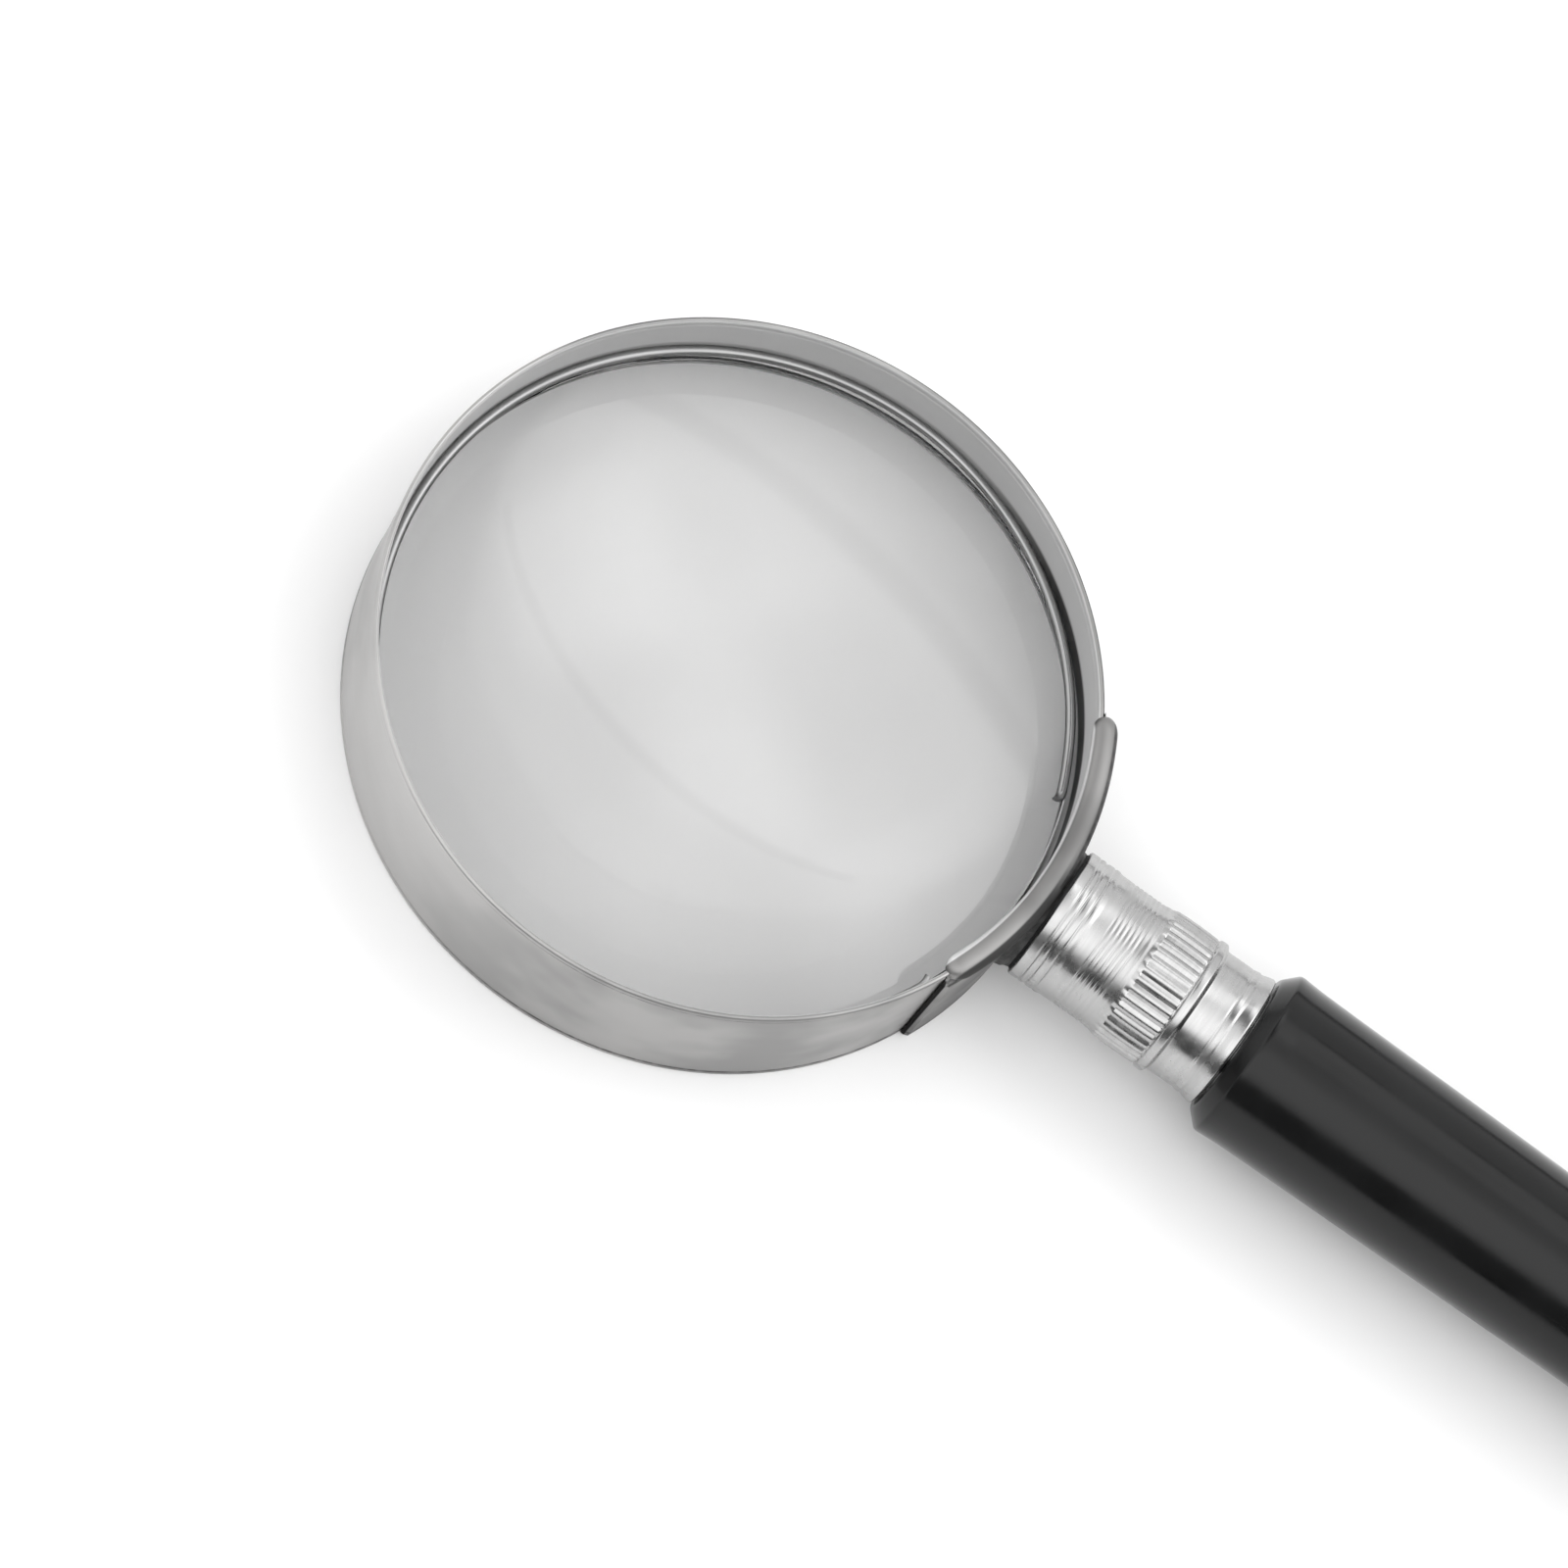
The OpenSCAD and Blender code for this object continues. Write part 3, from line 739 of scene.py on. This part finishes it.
def soft_box(tree, ray, towards, width, height, roll=0.0, edge=6.0):
    """A soft-edged rectangle in the sky, 1 inside and 0 outside; sizes and roll in degrees."""
    out = Vector(towards).normalized()
    right = Quaternion(out, math.radians(roll)) @ out.cross(Vector((0, 0, 1))).normalized()
    up = right.cross(out)
    ahead = math_node(tree, "MAXIMUM", dot(tree, ray, out), 0.001)
    mask = remap(tree, dot(tree, ray, out), 0.0, 0.1, 0, 1)
    for axis, size in ((right, width), (up, height)):
        offset = math_node(tree, "ABSOLUTE", math_node(tree, "DIVIDE", dot(tree, ray, axis), ahead))
        inner = math.tan(math.radians(max(size / 2 - edge / 2, 0)))
        outer = math.tan(math.radians(size / 2 + edge / 2))
        mask = times(tree, mask, remap(tree, offset, inner, outer, 1, 0))
    return mask


def make_studio():
    """An even pale sky that darkens at the horizon, with soft boxes of more light and flags of less."""
    world = bpy.data.worlds.new("studio")
    bpy.context.scene.world = world
    world.use_nodes = True
    world.cycles.sampling_method = "NONE"
    tree = world.node_tree
    ray = add_node(tree, "ShaderNodeTexCoord").outputs["Generated"]
    level = remap(tree, dot(tree, ray, (0, 0, 1)), 0.02, 0.16, HORIZON, SKY)
    boxes = [
        # towards, width, height, roll, edge, added brightness
        # The near side: light for the ferrule's middle, and a flag for the dark line below it
        ((0.16, -0.47, 0.88), 70, 34, 0, 12, 0.5),
        ((0.10, -0.95, 0.32), 110, 34, 0, 10, -1.4),
        # The far side: a thin line and the shade above it, for the ferrule and the handle
        ((0.15, 0.67, 0.74), 90, 3, 0, 2, -1.05),
        ((0.15, 0.90, 0.40), 120, 44, 0, 6, -0.45),
        # Flags at both ends of the grip, for the rim's wall and the handle's bevel
        ((0.95, 0.10, 0.20), 70, 26, 0, 10, -1.15),
        ((-0.95, 0.10, 0.20), 70, 20, 0, 10, -0.35),
        # What the lens's face shows: two glows, and shade at its left and below
        ((-0.14, 0.60, 0.80), 22, 24, 20, 16, 0.8),
        ((0.54, 0.36, 0.78), 30, 34, 20, 14, 1.5),
        ((-0.38, 0.28, 0.90), 24, 44, 0, 16, -1.3),
        ((0.25, 0.10, 1.00), 15, 12, 0, 8, -0.3),
    ]
    for towards, width, height, roll, edge, gain in boxes:
        mask = soft_box(tree, ray, towards, width, height, roll, edge)
        level = math_node(tree, "MULTIPLY_ADD", mask, gain, level)
    background = tree.nodes["Background"]
    background.inputs["Color"].default_value = (1, 1, 1, 1)
    feed(tree, math_node(tree, "MAXIMUM", level, DARKEST), background.inputs["Strength"])


def make_floor():
    """A wide pale slab that the rim's rear edge rests on."""
    half, thickness = 6.0, 0.01
    points = [(x, y, FLOOR_Z - z) for z in (0, thickness) for x, y in
              ((-half, -half), (half, -half), (half, half), (-half, half))]
    faces = [(0, 1, 2, 3), (7, 6, 5, 4), (0, 4, 5, 1), (1, 5, 6, 2), (2, 6, 7, 3), (3, 7, 4, 0)]
    mesh = bpy.data.meshes.new("floor")
    mesh.from_pydata(points, [], faces)
    material, tree, shader, place = new_material("pale_floor", Roughness=0.9, Specular_IOR_Level=0.1)
    paper = blend_colours(tree, noise(tree, place, 40), grey(0.93), grey(0.95))
    feed(tree, paper, shader.inputs["Base Color"])
    mesh.materials.append(material)
    floor = bpy.data.objects.new("floor", mesh)
    bpy.context.scene.collection.objects.link(floor)


def make_camera():
    """The photo's camera, which looks down at the rim from the near side."""
    data = bpy.data.cameras.new("camera")
    data.lens = CAMERA_LENS
    data.sensor_width = SENSOR_WIDTH
    data.clip_start, data.clip_end = 0.01, 100
    camera = bpy.data.objects.new("camera", data)
    bpy.context.scene.collection.objects.link(camera)
    level = math.cos(ELEVATION)
    back = Vector((-math.sin(HEADING) * level, -math.cos(HEADING) * level, math.sin(ELEVATION)))
    camera.location = AIM + back * DISTANCE
    camera.rotation_mode = "QUATERNION"
    camera.rotation_quaternion = back.to_track_quat("Z", "Y") @ Quaternion((0, 0, 1), ROLL)
    bpy.context.scene.camera = camera


# ---------------------------------------------------------------- the model

def finish_node(node, material):
    """Gives a CAD node its material."""
    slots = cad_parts[node].data.materials
    slots.clear()
    slots.append(material)


make_camera()
make_floor()
make_studio()

plastic = black_plastic()
plate = turned_metal("ferrule_plate", grey(0.43, 0.002), grey(0.50, 0.002), rough=0.24, pitch=0.16 * MM,
                     depth=0.002 * MM, radius=6 * MM)
zinc = turned_metal("stud_steel", grey(0.40, -0.02), grey(0.62, -0.01), rough=0.3, pitch=0.3 * MM,
                    depth=0.003 * MM, radius=2.5 * MM)
brass = turned_metal("bush_brass", (0.50, 0.34, 0.12, 1), (0.80, 0.60, 0.28, 1), rough=0.28, pitch=0.2 * MM,
                     depth=0.004 * MM, radius=4 * MM)
rim_metal = rim_finish_and_painted_light(satin_nickel("rim_metal", 0.28, 0.40, RIM_HIGH.z - ROLL_HEIGHT, 0.16 * MM))
# The saddle's darkened crease is painted shade under its bead.
saddle_metal = saddle_painted_light_and_shade(satin_nickel("saddle_metal", 0.18, 0.31, SADDLE_CREASE, 0.3 * MM, duller=0.12))
wire = spring_wire()

finish_node("rear_retaining_ring", wire)
finish_node("threaded_bush", brass)

make_lens(lens_glass())
make_rim(rim_metal)
make_front_ring(wire)
make_saddle(saddle_metal)
make_washer(washer_fibre())
make_ferrule(plate)
make_stud(zinc)
make_handle(plastic)
make_end_cap(plastic)

bpy.context.scene.view_settings.view_transform = "Standard"
